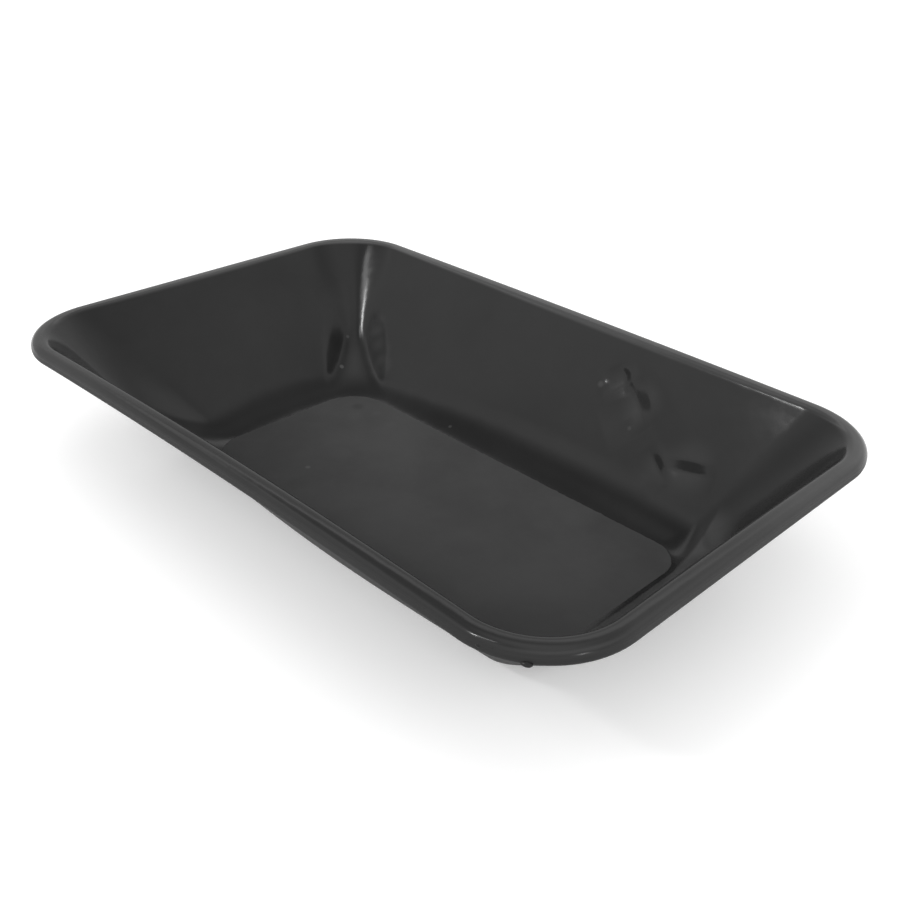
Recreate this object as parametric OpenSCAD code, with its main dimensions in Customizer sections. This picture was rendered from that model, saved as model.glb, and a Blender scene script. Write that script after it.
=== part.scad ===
// Wheelbarrow tray: a pan pressed from one steel sheet, its edge rolled down over a steel wire.
// +X points to the front (narrow) end, +Y to the left, +Z up.
// The origin is under the middle of the tray, on the plane the floor rests on.

/* [Tray] */
// Length over the rolled edge
tray_l = 900; // [840:5:960]
// Width over the rolled edge at the back end
back_w = 580; // [560:2:620]
// Width over the rolled edge at the front end
front_w = 554; // [530:2:582]
// Height from the underside of the floor to the highest point of the edge
tray_h = 167; // [155:1:190]
// Thickness of the steel sheet
sheet_t = 1; // [0.8:0.1:1.4]
// Corner radius of the edge at the back, seen from above
back_r = 106; // [96:1:120]
// Corner radius of the edge at the front, seen from above
front_r = 100; // [90:1:114]
// How far the long sides rise towards the middle of their length
side_arch = 3; // [0.5:0.5:5]
// How far the long sides draw in towards the middle of their length
side_pinch = 2.5; // [0.5:0.5:5]

/* [Floor] */
// Distance from the middle of the tray to the back end of the flat floor
floor_back = 267; // [258:1:285]
// Distance from the middle of the tray to the front end of the flat floor
floor_front = 305; // [290:1:315]
// Width of the flat floor at the back
floor_back_w = 258; // [240:2:276]
// Width of the flat floor at the front
floor_front_w = 262; // [240:2:276]
// Corner radius of the flat floor at the back
floor_back_r = 56; // [50:1:70]
// Corner radius of the flat floor at the front
floor_front_r = 42; // [34:1:52]
// How far the sheet turns up at once where the flat floor ends, in degrees
floor_edge_turn = 10; // [4:1:14]
// Radius of that turn
floor_edge_r = 4; // [2:0.5:8]

/* [Bends] */
// Bend from the floor's edge up into the four walls
wall_bend_r = 82; // [70:1:90]
// The same bend in the two deep-drawn back corners
back_corner_bend_r = 200; // [120:5:220]
// The same bend in the two front corners
front_corner_bend_r = 60; // [45:1:85]
// Bend from the wall out into the edge
top_bend_r = 11; // [8:0.5:13]

/* [Rolled edge] */
// Flat on top of the edge, between its two bends
edge_flat = 4; // [2:0.5:6]
// Radius of the edge's outer bend
edge_r = 10; // [8:0.5:12]
// Depth of the wire's centre below the top of the edge
wire_depth = 12; // [11:0.5:15]
// Diameter of the wire rolled into the edge
wire_d = 6; // [5:0.5:7]
// How far the sheet wraps round the wire, in degrees
wire_wrap = 265; // [200:5:270]

/* [Hidden] */
// room between the wire and the sheet round it
wire_gap = 0.15;
// how far the wire's side runs go into its corner bends, and how much thinner they are
run_seat = 0.5;
run_ease = 0.03;
// steps round a corner and along a side of the outline
corner_steps = 12;
side_steps = 10;
end_steps = 4;
// steps round each bend of the section
floor_edge_steps = 2;
wall_bend_steps = 7;
wall_steps = 3;
top_bend_steps = 5;
edge_steps = 5;
curl_steps = 10;
// outer radius of the curl round the wire
curl_r = wire_d / 2 + wire_gap + sheet_t;
// height of the top of the edge at the corners, where it is lowest
corner_h = tray_h - side_arch;

function mix(a, b, t) = a + (b - a) * t;
function steps(a, b, n) = [for (i = [0:n]) mix(a, b, i / n)];

// How far the long sides turn in towards the front.
function taper(back, front, wb, wf) = atan2((wb - wf) / 2, back + front);

// Corner arcs of a tapered, rounded outline, anticlockwise from the front left.
// Each is [centre x, centre y, radius, first angle, last angle].
function corners(back, front, wb, wf, rb, rf) =
    let (
        d = taper(back, front, wb, wf),
        yf = wf / 2 - rf * (1 - sin(d)) / cos(d),
        yb = wb / 2 - rb * (1 + sin(d)) / cos(d)
    )
    [
        [front - rf, yf, rf, 0, 90 - d],
        [rb - back, yb, rb, 90 - d, 180],
        [rb - back, -yb, rb, 180, 270 + d],
        [front - rf, -yf, rf, 270 + d, 360]
    ];

// The point on a corner arc where the outline faces angle a.
function on_arc(c, a) = [c[0] + c[2] * cos(a), c[1] + c[2] * sin(a)];

// Stations round an outline: [x, y, angle it faces, part, share of the part behind it].
// Parts 0 to 3 are the corners, and parts 4 to 7 are the sides that follow them.
function corner_stations(c, k) = [
    for (t = steps(0, 1, corner_steps))
        let (a = mix(c[3], c[4], t), p = on_arc(c, a))
            [p[0], p[1], a, k, t]
];
function side_stations(c, next, k) =
    let (n = k % 2 == 0 ? side_steps : end_steps)
    [
        for (i = [1:n - 1])
            let (p = mix(on_arc(c, c[4]), on_arc(next, next[3]), i / n))
                [p[0], p[1], c[4], k + 4, i / n]
    ];
function stations(cs) = [
    for (k = [0:3])
        each concat(corner_stations(cs[k], k), side_stations(cs[k], cs[(k + 1) % 4], k))
];

rim_corners = corners(tray_l / 2, tray_l / 2, back_w, front_w, back_r, front_r);
floor_corners = corners(floor_back, floor_front, floor_back_w, floor_front_w, floor_back_r, floor_front_r);
rim = stations(rim_corners);
flat_floor = stations(floor_corners);

// The wall's bend radius at a station, swelling to the corner's own in the middle of a corner.
function corner_bend(k) = (k == 0 || k == 3) ? front_corner_bend_r : back_corner_bend_r;
function bend_at(s) =
    s[3] > 3 ? wall_bend_r : mix(wall_bend_r, corner_bend(s[3]), pow(sin(180 * s[4]), 2));

// How far a station is into the bow of a long side: 0 at its ends, 1 in its middle.
function bow(t) = 4 * t * (1 - t);
function bow_at(s) = (s[3] == 4 || s[3] == 6) ? bow(s[4]) : 0;

// The point where a bend about c leans by q. Its radius r is negative where the bend's centre is below.
function on_bend(c, r, q) = [c[0] + r * sin(q), c[1] - r * cos(q)];

// One side of the sheet from the floor to the edge, as [out from the floor, height].
// off is 0 for the upper face and sheet_t for the underside, and top is the height of the edge.
function wall_side(run, bend, top, off) =
    let (
        turn = floor_edge_turn,
        bx = (floor_edge_r - bend) * sin(turn),
        bz = sheet_t + floor_edge_r - (floor_edge_r - bend) * cos(turn),
        dx = run - bx,
        dz = top - top_bend_r - bz,
        lean = atan2(dz, dx) + asin(min(1, (bend + top_bend_r) / norm([dx, dz]))),
        low = [for (q = steps(turn, lean, wall_bend_steps)) on_bend([bx, bz], bend + off, q)],
        high = [for (q = steps(lean, 0, top_bend_steps))
            on_bend([run, top - top_bend_r], off - top_bend_r, q)]
    )
    concat(
        [for (i = [0:floor_edge_steps - 1])
            on_bend([0, sheet_t + floor_edge_r], floor_edge_r + off, turn * i / floor_edge_steps)],
        low,
        [for (i = [1:wall_steps - 1]) mix(low[wall_bend_steps], high[0], i / wall_steps)],
        high
    );

// One side of the rolled edge, as [in from the outermost line, height].
function edge_side(top, off) = concat(
    [for (q = steps(90, 0, edge_steps))
        [edge_r - (edge_r - off) * cos(q), top - edge_r + (edge_r - off) * sin(q)]],
    [for (q = steps(0, wire_wrap, curl_steps))
        [curl_r - (curl_r - off) * cos(q), top - wire_depth - (curl_r - off) * sin(q)]]
);

// One side of the sheet at a station, in space.
function sheet_side(i, off) =
    let (
        b = bow_at(rim[i]),
        top = corner_h + side_arch * b,
        n = [cos(rim[i][2]), sin(rim[i][2])],
        r = [rim[i][0], rim[i][1]] - n * side_pinch * b,
        f = [flat_floor[i][0], flat_floor[i][1]],
        span = r - n * (edge_r + edge_flat) - f,
        run = norm(span),
        u = span / run
    )
    concat(
        [for (p = wall_side(run, bend_at(rim[i]), top, off))
            [f[0] + u[0] * p[0], f[1] + u[1] * p[0], p[1]]],
        [for (p = edge_side(top, off)) [r[0] - n[0] * p[0], r[1] - n[1] * p[0], p[1]]]
    );

function mean(v) = [for (p = v) 1] * v / len(v);
function reversed(v) = [for (i = [len(v) - 1:-1:0]) v[i]];

// The sheet's whole section: up the inside, round the wire, and back down the underside.
function section(i) = concat(sheet_side(i, 0), reversed(sheet_side(i, sheet_t)));

// Skin through a closed row of equal open sections, closed at each end of them by a flat fan.
module loft(rows) {
    n = len(rows);
    m = len(rows[0]);
    // both faces of the sheet are split along the same diagonals, so that it keeps its thickness
    sides = [
        for (i = [0:n - 1])
            for (j = [0:m - 2])
                let (
                    a = i * m + j,
                    b = ((i + 1) % n) * m + j,
                    rising = [[a, b, b + 1], [a, b + 1, a + 1]],
                    falling = [[a, b, a + 1], [b, b + 1, a + 1]]
                )
                for (t = j < m / 2 ? rising : falling) t
    ];
    // the middle of the floor's upper face, and of its underside
    middles = [for (j = [0, m - 1]) mean([for (row = rows) row[j]])];
    fans = [
        for (i = [0:n - 1])
            let (a = i * m, b = ((i + 1) % n) * m)
            for (t = [[b, a, n * m], [a + m - 1, b + m - 1, n * m + 1]]) t
    ];
    polyhedron(
        points = concat([for (row = rows) each row], middles),
        faces = concat(sides, fans),
        convexity = 10
    );
}

// The pressed pan: flat floor, four leaning walls, round corners and rolled edge.
module tray_pan() {
    color([0.17, 0.17, 0.175])
        loft([for (i = [0:len(rim) - 1]) section(i)]);
}

// A round bar between two points. It runs on a little way past both.
module bar(a, b, r) {
    d = b - a;
    translate([a[0], a[1], 0])
        rotate([0, 0, atan2(d[1], d[0])])
            translate([-run_seat, 0, 0])
                rotate([0, 90, 0])
                    cylinder(r = r, h = norm(d) + 2 * run_seat, $fn = 32);
}

// A round bar between two points, bowed by the vector sag in its middle.
module bowed_bar(a, b, sag, r) {
    chord = norm(b - a);
    s = norm(sag);
    big_r = (chord * chord / 4 + s * s) / (2 * s);
    half = asin(chord / 2 / big_r) + run_seat / big_r * 180 / PI;
    x = sag / s;
    y = (b - a) / chord;
    z = cross(x, y);
    m = (a + b) / 2 + sag - x * big_r;
    multmatrix([
        [x[0], y[0], z[0], m[0]],
        [x[1], y[1], z[1], m[1]],
        [x[2], y[2], z[2], m[2]],
        [0, 0, 0, 1]
    ])
        rotate([0, 0, -half])
            rotate_extrude(angle = 2 * half, $fn = 4320)
                translate([big_r, 0])
                    circle(r = r, $fn = 32);
}

// The wire ring inside the rolled edge: four corner bends, two bowed sides and two straight ends.
module edge_wire() {
    color([0.55, 0.55, 0.56])
        translate([0, 0, corner_h - wire_depth])
            for (k = [0:3]) {
                c = rim_corners[k];
                e = rim_corners[(k + 1) % 4];
                n = [cos(c[4]), sin(c[4])];
                a = [c[0], c[1]] + (c[2] - curl_r) * n;
                b = [e[0], e[1]] + (e[2] - curl_r) * n;
                translate([c[0], c[1], 0])
                    rotate([0, 0, c[3]])
                        rotate_extrude(angle = c[4] - c[3], $fn = 96)
                            translate([c[2] - curl_r, 0])
                                circle(d = wire_d, $fn = 32);
                if (k % 2 == 0)
                    bowed_bar(
                        [a[0], a[1], 0],
                        [b[0], b[1], 0],
                        [-n[0] * side_pinch, -n[1] * side_pinch, side_arch],
                        wire_d / 2 - run_ease
                    );
                else
                    bar(a, b, wire_d / 2 - run_ease);
            }
}

tray_pan();
edge_wire();
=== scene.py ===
import bpy
import bmesh
import math
from mathutils import Matrix, Vector, noise


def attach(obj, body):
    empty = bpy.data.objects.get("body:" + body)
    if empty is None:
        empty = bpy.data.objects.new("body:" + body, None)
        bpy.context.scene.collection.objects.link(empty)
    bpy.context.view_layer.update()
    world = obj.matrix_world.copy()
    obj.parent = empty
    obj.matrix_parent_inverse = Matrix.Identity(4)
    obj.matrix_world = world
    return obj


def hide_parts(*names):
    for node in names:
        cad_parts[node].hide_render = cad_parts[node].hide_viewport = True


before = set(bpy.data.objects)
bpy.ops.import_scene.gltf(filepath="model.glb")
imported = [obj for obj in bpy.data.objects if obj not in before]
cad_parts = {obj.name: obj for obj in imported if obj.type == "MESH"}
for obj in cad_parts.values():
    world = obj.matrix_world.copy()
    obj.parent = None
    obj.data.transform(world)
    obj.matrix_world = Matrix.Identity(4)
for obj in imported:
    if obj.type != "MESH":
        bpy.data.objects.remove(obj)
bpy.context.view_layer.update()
print("tray frame loaded:", ", ".join(sorted(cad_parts)))

# where the camera stands, worked out from the middle of the tray's floor
viewpoint = {
    "around": 45.36,     # degrees round from square on to the long side
    "above": 30.12,      # degrees up from the floor
    "lean": 0.85,        # the camera's own tilt, in degrees
    "away": 1.2788,      # metres back from the floor's middle
    "aside": 0.0417,     # metres to the right of that line
    "over": 0.0534,      # metres above that line
    "lens": 41.77,       # mm
    "sensor": 36,        # mm across
    "sight": 100,        # how far it sees, in metres
}


def placeCamera(view, floorHeight):
    turn = Matrix.Rotation(math.radians(view["around"]), 3, "Z")
    turn = turn @ Matrix.Rotation(math.radians(90 - view["above"]), 3, "X")
    turn = turn @ Matrix.Rotation(math.radians(view["lean"]), 3, "Z")
    lensData = bpy.data.cameras.new("trayCamera")
    lensData.lens = view["lens"]
    lensData.sensor_width = view["sensor"]
    lensData.clip_end = view["sight"]
    camera = bpy.data.objects.new("trayCamera", lensData)
    bpy.context.scene.collection.objects.link(camera)
    camera.rotation_euler = turn.to_euler()
    camera.location = turn @ Vector((view["aside"], view["over"], view["away"]))
    camera.location.z += floorHeight
    bpy.context.scene.camera = camera


# the pressed pan, in metres and degrees: the sizes are the frame's own
pan = {
    "length": 0.900, "backWidth": 0.580, "frontWidth": 0.554,
    "height": 0.167,            # top of the edge in the middle of the long sides
    "sheet": 0.001,
    "backRadius": 0.106, "frontRadius": 0.100,
    "sideArch": 0.003,          # how far the long sides rise towards their middle
    "sidePinch": 0.0025,        # how far they draw in there
    "floorBack": 0.267, "floorFront": 0.305,
    "floorBackWidth": 0.258, "floorFrontWidth": 0.262,
    "floorBackRadius": 0.056, "floorFrontRadius": 0.042,
    "floorEdgeTurn": 10, "floorEdgeRadius": 0.004,
    "wallBend": 0.082, "backCornerBend": 0.200, "frontCornerBend": 0.060,
    "topBend": 0.011,
    "edgeFlat": 0.004, "edgeRadius": 0.010,
    "wireDepth": 0.012, "wire": 0.006, "wireGap": 0.00015, "wrap": 265,

    # how finely it is modelled, first round the pan and then from its middle to the end of the curl
    "steps": {
        "corner": 26, "side": 46, "end": 20,
        "knockedPart": 0.42, "knocked": 136, "unknocked": 26,    # the knocked side, finer over this share
        "floor": 8, "floorEdge": 3, "wallBend": 12, "wall": 58, "topBend": 7, "edge": 8, "curl": 10,
    },

    # knocks in the long wall: each is a short crease between two places (along, up), crisp on its right side
    # going from the first to the second and softer on the other
    "creases": [
        {"from": (0.134, 0.107), "to": (0.113, 0.139), "width": 0.0110, "deep": -0.0034},
        {"from": (0.178, 0.081), "to": (0.132, 0.122), "width": 0.0190, "deep": -0.0050},
        {"from": (0.234, 0.039), "to": (0.190, 0.068), "width": 0.0105, "deep": -0.0026},
        {"from": (0.288, 0.069), "to": (0.218, 0.057), "width": 0.0115, "deep": -0.0035},
        {"from": (0.107, 0.110), "to": (0.093, 0.112), "width": 0.006, "deep": 0.0006},
        {"from": (0.163, 0.077), "to": (0.149, 0.088), "width": 0.006, "deep": 0.0007},
        {"from": (0.280, 0.030), "to": (0.090, 0.150), "width": 0.034, "deep": -0.0010},
    ],
    "softSide": 2.6,            # how much wider the soft side of a crease is
    "knockedWay": 0.3,          # walls that face at least this squarely to +Y are knocked
    "wave": 0.0005,             # height of the long shallow waves in every wall
    "waveLength": 0.16,
    "waveFoot": (0.012, 0.03), "waveHead": (0.150, 0.02),    # heights where all this ends, and how it fades
}


def outlineCorners(back, front, backWidth, frontWidth, backRadius, frontRadius):
    lean = math.atan2((backWidth - frontWidth) / 2, back + front)
    yFront = frontWidth / 2 - frontRadius * (1 - math.sin(lean)) / math.cos(lean)
    yBack = backWidth / 2 - backRadius * (1 + math.sin(lean)) / math.cos(lean)
    quarter = math.pi / 2 - lean
    return [
        (Vector((front - frontRadius, yFront)), frontRadius, 0, quarter),
        (Vector((backRadius - back, yBack)), backRadius, quarter, math.pi),
        (Vector((backRadius - back, -yBack)), backRadius, math.pi, 2 * math.pi - quarter),
        (Vector((front - frontRadius, -yFront)), frontRadius, 2 * math.pi - quarter, 2 * math.pi),
    ]


def onCorner(corner, share):
    centre, radius, first, last = corner
    angle = first + (last - first) * share
    facing = Vector((math.cos(angle), math.sin(angle)))
    return centre + facing * radius, facing


def sideShares(side, steps):
    if side == 0:    # the knocked long side, finer towards the front
        part, fine, coarse = steps["knockedPart"], steps["knocked"], steps["unknocked"]
        shares = [part * i / fine for i in range(1, fine)]
        return shares + [1 - (1 - part) * i / coarse for i in range(coarse, 0, -1)]
    count = steps["side"] if side == 2 else steps["end"]
    return [i / count for i in range(1, count)]


def panStations(form):
    # places round the pan: rim point, way it faces, floor point, wall bend and share of the long side's bow
    half = form["length"] / 2
    rim = outlineCorners(half, half, form["backWidth"], form["frontWidth"],
                         form["backRadius"], form["frontRadius"])
    foot = outlineCorners(form["floorBack"], form["floorFront"], form["floorBackWidth"],
                          form["floorFrontWidth"], form["floorBackRadius"], form["floorFrontRadius"])
    cornerBends = [form[end + "CornerBend"] for end in ("front", "back", "back", "front")]
    steps = form["steps"]
    places = []
    for k in range(4):
        for i in range(steps["corner"] + 1):
            share = i / steps["corner"]
            rimPoint, facing = onCorner(rim[k], share)
            swell = math.sin(math.pi * share) ** 2
            bend = form["wallBend"] + (cornerBends[k] - form["wallBend"]) * swell
            places.append((rimPoint, facing, onCorner(foot[k], share)[0], bend, 0))
        rimStart, facing = onCorner(rim[k], 1)
        rimEnd = onCorner(rim[(k + 1) % 4], 0)[0]
        footStart = onCorner(foot[k], 1)[0]
        footEnd = onCorner(foot[(k + 1) % 4], 0)[0]
        for share in sideShares(k, steps):
            bow = 4 * share * (1 - share) if k % 2 == 0 else 0
            places.append((rimStart.lerp(rimEnd, share), facing, footStart.lerp(footEnd, share),
                           form["wallBend"], bow))
    return places


def wallLine(form, run, bend, top):
    # the sheet's upper face from the floor's edge to the flat of the rim: (out, up, tilt)
    steps = form["steps"]
    turn = math.radians(form["floorEdgeTurn"])
    small = form["floorEdgeRadius"]
    bendOut = (small - bend) * math.sin(turn)
    bendUp = form["sheet"] + small - (small - bend) * math.cos(turn)
    topBend = form["topBend"]
    reach = Vector((run - bendOut, top - topBend - bendUp))
    tilt = math.atan2(reach.y, reach.x) + math.asin(min(1, (bend + topBend) / reach.length))
    line = []
    for i in range(1, steps["floorEdge"]):
        q = turn * i / steps["floorEdge"]
        line.append((small * math.sin(q), form["sheet"] + small * (1 - math.cos(q)), q))
    for i in range(steps["wallBend"] + 1):
        q = turn + (tilt - turn) * i / steps["wallBend"]
        line.append((bendOut + bend * math.sin(q), bendUp - bend * math.cos(q), q))
    low = line[-1]
    high = (run - topBend * math.sin(tilt), top - topBend * (1 - math.cos(tilt)), tilt)
    for i in range(1, steps["wall"]):
        share = i / steps["wall"]
        line.append((low[0] + (high[0] - low[0]) * share, low[1] + (high[1] - low[1]) * share, tilt))
    for i in range(steps["topBend"] + 1):
        q = tilt * (1 - i / steps["topBend"])
        line.append((run - topBend * math.sin(q), top - topBend * (1 - math.cos(q)), q))
    return line


def edgeLine(form, top):
    # the rolled edge, from its flat round the wire: (in from the outermost line, up)
    steps = form["steps"]
    outer = form["edgeRadius"]
    curl = form["wire"] / 2 + form["wireGap"] + form["sheet"]
    line = []
    for i in range(steps["edge"] + 1):
        q = math.pi / 2 * (1 - i / steps["edge"])
        line.append((outer * (1 - math.cos(q)), top - outer * (1 - math.sin(q))))
    for i in range(steps["curl"] + 1):
        q = math.radians(form["wrap"]) * i / steps["curl"]
        line.append((curl * (1 - math.cos(q)), top - form["wireDepth"] - curl * math.sin(q)))
    return line


def wallDents(form, spot, out):
    # how far the wall is pushed inwards here
    footEnd, footFade = form["waveFoot"]
    headEnd, headFade = form["waveHead"]
    height = min(1, max(0, (spot.z - footEnd) / footFade)) * min(1, max(0, (headEnd - spot.z) / headFade))
    lift = form["wave"] * noise.noise(spot / form["waveLength"]) * height
    if out.y <= form["knockedWay"]:
        return lift
    here = Vector((spot.x, spot.z))
    for crease in form["creases"]:
        a, b = Vector(crease["from"]), Vector(crease["to"])
        along = (here - a).dot(b - a) / (b - a).length_squared
        if not 0 < along < 1:
            continue
        away = here - a.lerp(b, along)
        width = crease["width"] * (1 if (b - a).cross(away) < 0 else form["softSide"])
        slant = max(0, 1 - away.length / width)     # a straight slope on each side, as bent sheet has
        lift += crease["deep"] * slant * math.sin(math.pi * along) * height
    return lift


def panColumn(form, place):
    # the sheet's upper face at one place round the pan, from near the floor's middle to the end of the curl
    rimPoint, facing, foot, bend, bow = place
    floorSteps = form["steps"]["floor"]
    top = form["height"] - form["sideArch"] * (1 - bow)
    rimPoint = rimPoint - facing * form["sidePinch"] * bow
    span = rimPoint - facing * (form["edgeRadius"] + form["edgeFlat"]) - foot
    out = span.normalized()
    middle = Vector(((form["floorFront"] - form["floorBack"]) / 2, 0))
    column = [(middle + (foot - middle) * (i / floorSteps)).to_3d() for i in range(1, floorSteps + 1)]
    for spot in column:
        spot.z = form["sheet"]
    for away, up, tilt in wallLine(form, span.length, bend, top):
        flat = foot + out * away
        skin = Vector((-out.x * math.sin(tilt), -out.y * math.sin(tilt), math.cos(tilt)))
        spot = Vector((flat.x, flat.y, up))
        column.append(spot + skin * wallDents(form, spot, out))
    for back, up in edgeLine(form, top):
        flat = rimPoint - facing * back
        column.append(Vector((flat.x, flat.y, up)))
    return column


def runsAlong(column, row, *marks):
    # distance along the sheet from each marked row to this one
    runs = []
    for mark in marks:
        low, high = sorted((row, mark))
        length = sum((column[i + 1] - column[i]).length for i in range(low, high))
        runs.append(length if row > mark else -length)
    return runs


def finishPiece(bm, name):
    for face in bm.faces:
        face.smooth = True
    mesh = bpy.data.meshes.new(name)
    bm.to_mesh(mesh)
    bm.free()
    piece = bpy.data.objects.new(name, mesh)
    bpy.context.scene.collection.objects.link(piece)
    return piece


def growPan(form):
    steps = form["steps"]
    columns = [panColumn(form, place) for place in panStations(form)]
    floorRow = steps["floor"] - 1
    rimRow = len(columns[0]) - sum(steps[part] + 1 for part in ("topBend", "edge", "curl"))
    bm = bmesh.new()
    stationMark = bm.verts.layers.int.new("station")
    fromFloor = bm.verts.layers.float.new("fromFloor")    # metres up the sheet from the floor's edge
    fromRim = bm.verts.layers.float.new("fromRim")        # metres outwards from the start of the rim's bend

    def settle(v, row):
        column = columns[v[stationMark]]
        v.co = column[row]
        v[fromFloor], v[fromRim] = runsAlong(column, row, floorRow, rimRow)

    bmesh.ops.create_circle(bm, cap_ends=True, cap_tris=True, segments=len(columns), radius=1)
    ring = [v for v in bm.verts if v.co.length > 0.5]
    hub = next(v for v in bm.verts if v not in ring)
    for i, v in enumerate(ring):
        v[stationMark] = i
        settle(v, 0)
    settle(hub, 0)
    hub.co = sum((v.co for v in ring), Vector()) / len(ring)
    openEdges = [e for e in bm.edges if e.is_boundary]
    for row in range(1, len(columns[0])):
        grown = bmesh.ops.extrude_edge_only(bm, edges=openEdges)["geom"]
        fresh = {v for v in grown if isinstance(v, bmesh.types.BMVert)}
        for v in fresh:
            settle(v, row)
        openEdges = [e for e in grown if isinstance(e, bmesh.types.BMEdge) and e.is_boundary
                     and fresh.issuperset(e.verts)]
    bmesh.ops.recalc_face_normals(bm, faces=bm.faces)
    floorFace = max(bm.faces, key=lambda face: abs(face.normal.z) - face.calc_center_median().xy.length)
    if floorFace.normal.z < 0:
        bmesh.ops.reverse_faces(bm, faces=bm.faces)
    return finishPiece(bm, "trayPan")


def addThickness(piece, thickness):
    # the modelled face is the upper one, so the sheet grows away from it
    sheet = piece.modifiers.new("sheet", "SOLIDIFY")
    sheet.thickness = thickness
    sheet.offset = -1
    sheet.use_even_offset = True


# runs of paint that dried under the rolled edge at the near front corner
paintRuns = {
    "drops": [
        {"at": (0.3706, -0.2748, 0.1548), "size": (0.0028, 0.0020, 0.0024)},
        {"at": (0.3818, -0.2706, 0.1568), "size": (0.0026, 0.0020, 0.0022)},
        {"at": (0.4060, -0.2590, 0.1506), "size": (0.0068, 0.0045, 0.0027)},
    ],
    "rings": 14,
}


def addPaintRuns(form):
    bm = bmesh.new()
    rings = form["rings"]
    for drop in form["drops"]:
        placed = Matrix.Translation(drop["at"]) @ Matrix.Diagonal((*drop["size"], 1))
        bmesh.ops.create_uvsphere(bm, u_segments=2 * rings, v_segments=rings, radius=1, matrix=placed)
    return finishPiece(bm, "paintRuns")


def node(tree, kind, **values):
    made = tree.nodes.new(kind)
    for key, value in values.items():
        setattr(made, key, value)
    return made


def feed(tree, value, slot):
    if isinstance(value, bpy.types.NodeSocket):
        tree.links.new(value, slot)
    else:
        slot.default_value = value


def grey(value):
    return (value, value, value, 1)


def noiseAt(tree, coords, scale, detail, roughness=0.55):
    made = node(tree, "ShaderNodeTexNoise")
    made.inputs["Scale"].default_value = scale
    made.inputs["Detail"].default_value = detail
    made.inputs["Roughness"].default_value = roughness
    tree.links.new(coords, made.inputs["Vector"])
    return made.outputs["Fac"]


def rampOf(tree, value, places, colours):
    ramp = node(tree, "ShaderNodeValToRGB")
    while len(ramp.color_ramp.elements) < len(places):
        ramp.color_ramp.elements.new(0.5)
    for element, place, colour in zip(ramp.color_ramp.elements, places, colours):
        element.position = place
        element.color = colour
    tree.links.new(value, ramp.inputs["Fac"])
    return ramp.outputs["Color"]


def attributeOf(tree, name):
    return node(tree, "ShaderNodeAttribute", attribute_name=name).outputs["Fac"]


def between(tree, value, start, end, low=0.0, high=1.0):
    # runs smoothly from low to high as the value goes from start to end
    share = node(tree, "ShaderNodeMapRange", interpolation_type="SMOOTHSTEP")
    for name, number in (("From Min", start), ("From Max", end), ("To Min", low), ("To Max", high)):
        share.inputs[name].default_value = number
    tree.links.new(value, share.inputs["Value"])
    return share.outputs[0]


def combine(tree, operation, first, *others):
    for other in others:
        made = node(tree, "ShaderNodeMath", operation=operation)
        feed(tree, first, made.inputs[0])
        feed(tree, other, made.inputs[1])
        first = made.outputs[0]
    return first


def combineWays(tree, operation, way, other=None, result="Value"):
    made = node(tree, "ShaderNodeVectorMath", operation=operation)
    tree.links.new(way, made.inputs[0])
    if other:
        made.inputs[1].default_value = other
    return made.outputs[result]


def blend(tree, share, first, second):
    made = node(tree, "ShaderNodeMix", data_type="RGBA")
    tree.links.new(share, made.inputs["Factor"])
    feed(tree, first, made.inputs[6])
    feed(tree, second, made.inputs[7])
    return made.outputs[2]


def partsOf(tree, way):
    split = node(tree, "ShaderNodeSeparateXYZ")
    tree.links.new(way, split.inputs[0])
    return split.outputs


def driftOf(tree, spots, slope):
    # 1 in the tray's middle, more or less to each side
    toward = combineWays(tree, "DOT_PRODUCT", spots, slope)
    return combine(tree, "MAXIMUM", combine(tree, "ADD", toward, 1), 0)


def bumpOf(tree, height, strength, depth):
    bump = node(tree, "ShaderNodeBump")
    bump.inputs["Strength"].default_value = strength
    bump.inputs["Distance"].default_value = depth
    tree.links.new(height, bump.inputs["Height"])
    return bump


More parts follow.
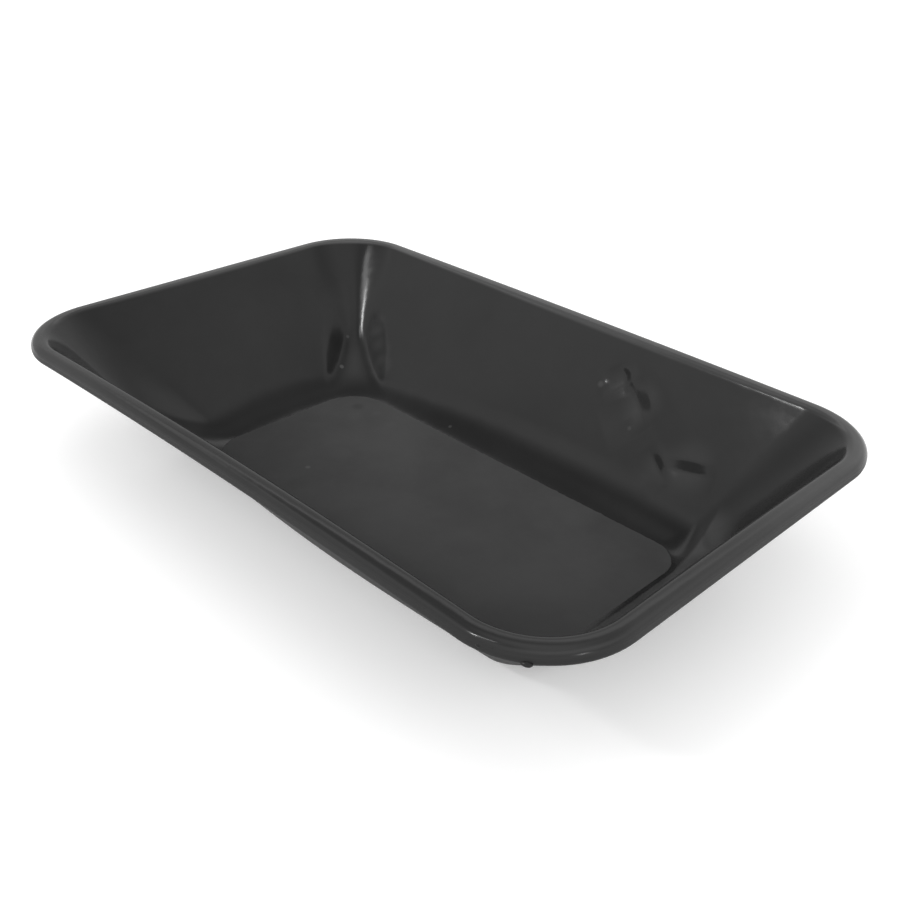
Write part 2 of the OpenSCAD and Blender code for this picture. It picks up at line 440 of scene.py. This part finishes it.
# black paint, dipped, under a thin film of dust and fine scuffs, with painted light and shade laid into the
# film's colour: shades are linear and lengths in metres, and each pair says where something starts and where
# it has fully come (or gone)
blackPaint = {
    "shade": grey(0.0105), "paleShade": grey(0.0155), "patchScale": 5, "patches": (0.35, 0.70),
    "gloss": 0.13, "dull": 0.18, "dullScale": 11, "dullPatches": (0.35, 0.72),
    "shine": 0.2,                                 # how strongly it mirrors
    "dustAndPaintedLightShade": grey(0.061),
    "scuffed": 0.40, "filmShine": 0.07,           # how rough the floor is, and how strongly it mirrors
    "underPaintedShade": grey(0.027), "underRough": 0.42, "underShine": 0.05,    # painted shade: a fixed tone on the outside below the edge, standing in for its shade and reflection
    "underTurn": (0.70, -0.10), "underEdge": (0.012, 0.016),    # over the rim, where the skin turns down
    "outsideTurn": (0.1, -0.1),                   # and wherever it faces down

    "floorFilmAndPaintedLight": 0.64, "floorPaintedLightDrift": (0, 2.6, 0),    # how thick the dust lies on the floor, with painted light in it, and the way it thickens towards the far side per metre, which is painted light
    "floorEnd": (-0.001, 0.001), "wander": 0.003, "wanderScale": 90,    # it ends unevenly, at the floor's edge
    "wallFilm": 0.09,
    "paintedShadeBand": (0.030, 0.052),    # painted shade: the bend is kept dark up to here, then the wall's film begins
    "frontPaintedLightPart": (0.34, 0.43), "frontPaintedLightGain": 2.6,    # and further along than this, it is so many times thicker: painted light on the front walls
    "frontPaintedLight": 0.60,              # painted light: the front end's bend has a paler band of its own, from here along the tray
    "frontBend": (0.306, 0.312),
    "frontStart": (0.006, 0.010), "frontEnd": (0.050, 0.090),    # and between these places up the sheet
    # painted sheen on the rim over its wear: palest at the inner edge and fading outward, and stronger towards
    # the back and the far side
    "rimWearAndPaintedSheen": 0.50, "rimPaintedSheenDrift": (-2.0, 4.0, 0),
    "rimStart": (-0.002, 0.005), "rimEnd": (0.014, 0.034),
    "cloudScale": 7, "clouds": (0.3, 0.7), "cloudFilm": (0.85, 1.15),

    "peel": 0.05, "peelScale": 320, "peelDepth": 0.0004,          # orange peel
    "ripple": 0.10, "rippleScale": 24, "rippleDepth": 0.004,      # slow waves in the paint

    # smudges, flecks and rubbed spots, with painted highlights, reflections and light among them: place, size,
    # and how much lighter (or cleaner) each is
    "marks": [
        {"at": (-0.224, 0.095, 0.001), "size": 0.010, "dustAndPaintedLight": -0.22},
        {"at": (-0.206, 0.074, 0.001), "size": 0.013, "dustAndPaintedLight": 0.10},
        {"at": (-0.191, 0.101, 0.001), "size": 0.008, "dustAndPaintedLight": 0.10},
        {"at": (-0.153, 0.093, 0.001), "size": 0.009, "dustAndPaintedLight": 0.08},
        {"at": (-0.140, -0.006, 0.001), "size": 0.017, "dustAndPaintedLight": 0.07},
        {"at": (-0.140, -0.058, 0.001), "size": 0.004, "dustAndPaintedLight": 0.45},
        {"at": (-0.119, -0.091, 0.001), "size": 0.015, "dustAndPaintedLight": -0.07},
        {"at": (-0.306, 0.133, 0.022), "size": 0.0035, "dustAndPaintedLight": 1.6},
        {"at": (-0.333, 0.168, 0.051), "size": 0.003, "dustAndPaintedLight": 0.6},
        {"at": (-0.088, 0.144, 0.005), "size": 0.003, "dustAndPaintedLight": 0.6},
        # painted highlights on the two small raised creases in the far wall
        {"at": (0.095, 0.226, 0.109), "size": 0.005, "dustAndPaintedLight": 0.5},
        {"at": (0.156, 0.208, 0.078), "size": 0.004, "dustAndPaintedLight": 0.5},
        # painted reflection in the back corner: a darker patch and a paler streak running down the far wall
        {"at": (-0.341, 0.161, 0.061), "size": 0.040, "dustAndPaintedLight": -0.10},
        {"at": (-0.302, 0.199, 0.070), "size": 0.019, "dustAndPaintedLight": 0.30},
        {"at": (-0.291, 0.188, 0.056), "size": 0.023, "dustAndPaintedLight": 0.34},
        {"at": (-0.274, 0.177, 0.042), "size": 0.024, "dustAndPaintedLight": 0.32},
        {"at": (-0.256, 0.167, 0.029), "size": 0.020, "dustAndPaintedLight": 0.30},
        # painted light over the knocked creases, lightening their shade
        {"at": (0.125, 0.237, 0.127), "size": 0.020, "dustAndPaintedLight": 0.14},
        {"at": (0.158, 0.225, 0.108), "size": 0.030, "dustAndPaintedLight": 0.24},
        {"at": (0.215, 0.195, 0.058), "size": 0.026, "dustAndPaintedLight": 0.14},
        {"at": (0.252, 0.200, 0.069), "size": 0.034, "dustAndPaintedLight": 0.24},
    ],
    "markEdge": (0.3, 1.2),    # a mark fades between these shares of its size
}


def filmAndPaintedLight(tree, spots, look):
    # how thickly the film and its painted light and shade lie at each spot, none (0) to full (1), and whether
    # the spot is on the floor
    wander = combine(tree, "SUBTRACT", noiseAt(tree, spots, look["wanderScale"], 2), 0.5)
    wander = combine(tree, "MULTIPLY", wander, look["wander"])
    up = combine(tree, "ADD", attributeOf(tree, "fromFloor"), wander)
    outward = attributeOf(tree, "fromRim")
    forward = partsOf(tree, spots)["X"]
    onFloor = between(tree, up, *look["floorEnd"], 1, 0)
    onFloorFilmAndPaintedLight = combine(tree, "MULTIPLY", onFloor, look["floorFilmAndPaintedLight"],
                          driftOf(tree, spots, look["floorPaintedLightDrift"]))
    onWallFilmAndPaintedLight = combine(tree, "MULTIPLY", between(tree, up, *look["paintedShadeBand"]),
                         between(tree, forward, *look["frontPaintedLightPart"], 1, look["frontPaintedLightGain"]), look["wallFilm"])
    onFrontPaintedLight = combine(tree, "MULTIPLY", between(tree, up, *look["frontStart"]),
                          between(tree, up, *look["frontEnd"], 1, 0),
                          between(tree, forward, *look["frontBend"]), look["frontPaintedLight"])
    onRimWearAndPaintedSheen = combine(tree, "MULTIPLY", between(tree, outward, *look["rimStart"]),
                        between(tree, outward, *look["rimEnd"], 1, 0), look["rimWearAndPaintedSheen"],
                        driftOf(tree, spots, look["rimPaintedSheenDrift"]))
    dustAndPaintedLight = combine(tree, "ADD", onFloorFilmAndPaintedLight, onWallFilmAndPaintedLight, onFrontPaintedLight, onRimWearAndPaintedSheen)
    clouds = noiseAt(tree, spots, look["cloudScale"], 5, 0.6)
    dustAndPaintedLight = combine(tree, "MULTIPLY", dustAndPaintedLight, between(tree, clouds, *look["clouds"], *look["cloudFilm"]))
    for mark in look["marks"]:
        away = combineWays(tree, "DISTANCE", spots, mark["at"])
        full, gone = [mark["size"] * share for share in look["markEdge"]]
        dustAndPaintedLight = combine(tree, "ADD", dustAndPaintedLight, between(tree, away, full, gone, mark["dustAndPaintedLight"], 0))
    return combine(tree, "MAXIMUM", dustAndPaintedLight, 0), onFloor


def makeBlackPaint(look):
    paint = bpy.data.materials.new("blackDippedPaint")
    paint.use_nodes = True
    tree = paint.node_tree
    shader = tree.nodes["Principled BSDF"]
    coords = node(tree, "ShaderNodeTexCoord").outputs
    spots = coords["Object"]
    dustAndPaintedLight, onFloor = filmAndPaintedLight(tree, spots, look)
    upward = partsOf(tree, coords["Normal"])["Z"]
    onOutside = combine(tree, "MULTIPLY", between(tree, upward, *look["underTurn"]),
                        between(tree, attributeOf(tree, "fromRim"), *look["underEdge"]))
    onOutside = combine(tree, "MAXIMUM", onOutside, between(tree, upward, *look["outsideTurn"]))

    patches = noiseAt(tree, spots, look["patchScale"], 4)
    clean = rampOf(tree, patches, look["patches"], (look["shade"], look["paleShade"]))
    # the film's colour carries painted light and shade as well as dust
    withDustAndPaintedLight = blend(tree, dustAndPaintedLight, clean, look["dustAndPaintedLightShade"])
    # faces turned down outside the rim take a painted shade
    tree.links.new(blend(tree, onOutside, withDustAndPaintedLight, look["underPaintedShade"]), shader.inputs["Base Color"])

    dulled = noiseAt(tree, spots, look["dullScale"], 5, 0.6)
    smooth = rampOf(tree, dulled, look["dullPatches"], (grey(look["gloss"]), grey(look["dull"])))
    worn = blend(tree, onFloor, smooth, grey(look["scuffed"]))
    tree.links.new(blend(tree, onOutside, worn, grey(look["underRough"])), shader.inputs["Roughness"])

    shine = blend(tree, onFloor, grey(look["shine"]), grey(look["filmShine"]))
    shine = blend(tree, onOutside, shine, grey(look["underShine"]))
    tree.links.new(shine, shader.inputs["Specular IOR Level"])

    peel = bumpOf(tree, noiseAt(tree, spots, look["peelScale"], 2), look["peel"], look["peelDepth"])
    ripple = bumpOf(tree, noiseAt(tree, spots, look["rippleScale"], 2), look["ripple"], look["rippleDepth"])
    tree.links.new(peel.outputs["Normal"], ripple.inputs["Normal"])
    tree.links.new(ripple.outputs["Normal"], shader.inputs["Normal"])
    return paint


# the wire in the rolled edge, drawn steel with darker marks and fine lines
drawnSteel = {
    "shade": (0.42, 0.42, 0.43, 1), "darkShade": (0.24, 0.23, 0.22, 1),
    "smooth": 0.28, "rough": 0.5,
    "markScale": 90, "marks": (0.3, 0.7),
    "lines": 0.2, "lineScale": 700, "lineDepth": 0.0002,
}


def makeDrawnSteel(look):
    steel = bpy.data.materials.new("drawnSteelWire")
    steel.use_nodes = True
    tree = steel.node_tree
    shader = tree.nodes["Principled BSDF"]
    shader.inputs["Metallic"].default_value = 1
    spots = node(tree, "ShaderNodeTexCoord").outputs["Object"]
    marks = noiseAt(tree, spots, look["markScale"], 4)
    shades = rampOf(tree, marks, look["marks"], (look["darkShade"], look["shade"]))
    tree.links.new(shades, shader.inputs["Base Color"])
    roughness = rampOf(tree, marks, look["marks"], (grey(look["rough"]), grey(look["smooth"])))
    tree.links.new(roughness, shader.inputs["Roughness"])
    lines = bumpOf(tree, noiseAt(tree, spots, look["lineScale"], 2), look["lines"], look["lineDepth"])
    tree.links.new(lines.outputs["Normal"], shader.inputs["Normal"])
    return steel


# floor, surroundings and lamps
studio = {
    "floorShade": grey(0.86),
    "floorReach": 30,          # metres to each side
    "floorGap": 0.0005,        # how far under the tray the floor lies, so that the two never share a plane
    "floorGlow": 0.25,         # what mirrors and the camera see on top of the lit floor, so it reads as white

    # the room's brightness by height, from level (0) to straight up (1), in three parts
    "farRoom": [(0.0, 0.60), (0.30, 0.70), (0.46, 0.70), (0.57, 0.55), (0.61, 1.8), (0.66, 1.8),
                (0.70, 0.5), (0.76, 0.35), (0.84, 0.35), (0.90, 0.8), (1.0, 1.5)],
    "sideRoom": [(0.0, 1.4), (0.30, 1.15), (0.47, 1.45), (0.62, 1.4), (0.74, 0.95), (0.82, 0.55),
                 (0.90, 0.6), (1.0, 1.4)],
    "nearRoom": [(0.0, 1.1), (0.30, 0.7), (0.47, 1.4), (0.62, 1.85), (0.75, 1.9), (0.86, 1.2), (1.0, 1.3)],
    "nearSide": (0.94, -0.34, 0),
    "farEdge": (-1.0, -0.3), "nearEdge": (0.45, 0.95),    # where they run into each other, from -1 to 1

    # long lamps: the places of their ends, what they face, width in metres and power in watts
    "lamps": {
        "streakLamp": {"ends": ((-1.13, -6.29, 10.15), (-4.24, -8.19, 7.72)), "toward": (-0.33, 0.20, 0.09),
                       "width": 1.0, "power": 120},
        "spotLamp": {"ends": ((-3.19, -7.87, 8.50), (-4.07, -8.20, 7.80)), "toward": (-0.33, 0.20, 0.09),
                     "width": 0.6, "power": 160},
        "lowLamp": {"ends": ((11.8, -2.9, 2.7), (12.0, -2.1, 2.7)), "toward": (0.42, -0.22, 0.15),
                    "width": 0.6, "power": 120},
    },
}


def addFloor(look):
    bm = bmesh.new()
    bmesh.ops.create_grid(bm, x_segments=1, y_segments=1, size=look["floorReach"])
    bmesh.ops.translate(bm, verts=bm.verts, vec=(0, 0, -look["floorGap"]))
    floor = finishPiece(bm, "paleFloor")
    surface = bpy.data.materials.new("paleFloor")
    surface.use_nodes = True
    tree = surface.node_tree
    tree.nodes.clear()
    matte = node(tree, "ShaderNodeBsdfDiffuse")
    matte.inputs["Color"].default_value = look["floorShade"]
    glow = node(tree, "ShaderNodeEmission")
    ray = node(tree, "ShaderNodeLightPath").outputs
    seen = combine(tree, "MAXIMUM", ray["Is Camera Ray"], ray["Is Glossy Ray"], ray["Is Transmission Ray"])
    tree.links.new(combine(tree, "MULTIPLY", seen, look["floorGlow"]), glow.inputs["Strength"])
    both = node(tree, "ShaderNodeAddShader")
    tree.links.new(matte.outputs[0], both.inputs[0])
    tree.links.new(glow.outputs[0], both.inputs[1])
    oneSided = node(tree, "ShaderNodeMixShader")    # clear from below, so that the underside can be seen
    tree.links.new(node(tree, "ShaderNodeNewGeometry").outputs["Backfacing"], oneSided.inputs[0])
    tree.links.new(both.outputs[0], oneSided.inputs[1])
    tree.links.new(node(tree, "ShaderNodeBsdfTransparent").outputs[0], oneSided.inputs[2])
    tree.links.new(oneSided.outputs[0], node(tree, "ShaderNodeOutputMaterial").inputs["Surface"])
    floor.data.materials.append(surface)


def setWorld(look):
    world = bpy.data.worlds.new("softRoom")
    world.use_nodes = True
    bpy.context.scene.world = world
    tree = world.node_tree
    tree.nodes.clear()
    way = node(tree, "ShaderNodeTexCoord").outputs["Generated"]
    height = partsOf(tree, way)["Z"]
    level = combineWays(tree, "MULTIPLY", way, (1, 1, 0), "Vector")
    compass = combineWays(tree, "NORMALIZE", level, result="Vector")
    side = combineWays(tree, "DOT_PRODUCT", compass, look["nearSide"])
    parts = []
    for part in ("farRoom", "sideRoom", "nearRoom"):
        heights, shades = zip(*look[part])
        parts.append(rampOf(tree, height, heights, [grey(shade) for shade in shades]))
    behind = blend(tree, between(tree, side, *look["farEdge"]), parts[0], parts[1])
    room = blend(tree, between(tree, side, *look["nearEdge"]), behind, parts[2])
    cameraRay = node(tree, "ShaderNodeLightPath").outputs["Is Camera Ray"]
    sky = node(tree, "ShaderNodeBackground")    # the camera itself sees plain white instead of the room
    tree.links.new(blend(tree, cameraRay, room, grey(1)), sky.inputs["Color"])
    tree.links.new(sky.outputs[0], node(tree, "ShaderNodeOutputWorld").inputs["Surface"])


def addLamp(name, look):
    first, last = [Vector(end) for end in look["ends"]]
    data = bpy.data.lights.new(name, "AREA")
    data.shape = "RECTANGLE"
    data.size, data.size_y = (last - first).length, look["width"]
    data.energy = look["power"]
    lamp = bpy.data.objects.new(name, data)
    lamp.location = first.lerp(last, 0.5)
    away = (lamp.location - Vector(look["toward"])).normalized()
    along = (last - first - away * (last - first).dot(away)).normalized()
    lamp.rotation_euler = Matrix((along, away.cross(along), away)).transposed().to_euler()
    bpy.context.scene.collection.objects.link(lamp)


placeCamera(viewpoint, pan["sheet"])
print("camera placed")

trayPan = growPan(pan)
addThickness(trayPan, pan["sheet"])
trayPan.data.materials.append(makeBlackPaint(blackPaint))
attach(trayPan, "root")
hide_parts("tray_pan")
print("pan pressed:", len(trayPan.data.polygons), "faces")

runs = addPaintRuns(paintRuns)
runs.data.materials.append(trayPan.data.materials[0])
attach(runs, "root")
print("paint runs added")

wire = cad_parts["edge_wire"]
wire.data.materials.clear()
wire.data.materials.append(makeDrawnSteel(drawnSteel))
print("edge wire finished")

addFloor(studio)
setWorld(studio)
for lampName, lampLook in studio["lamps"].items():
    addLamp(lampName, lampLook)
bpy.context.scene.view_settings.view_transform = "Standard"
print("studio lit")
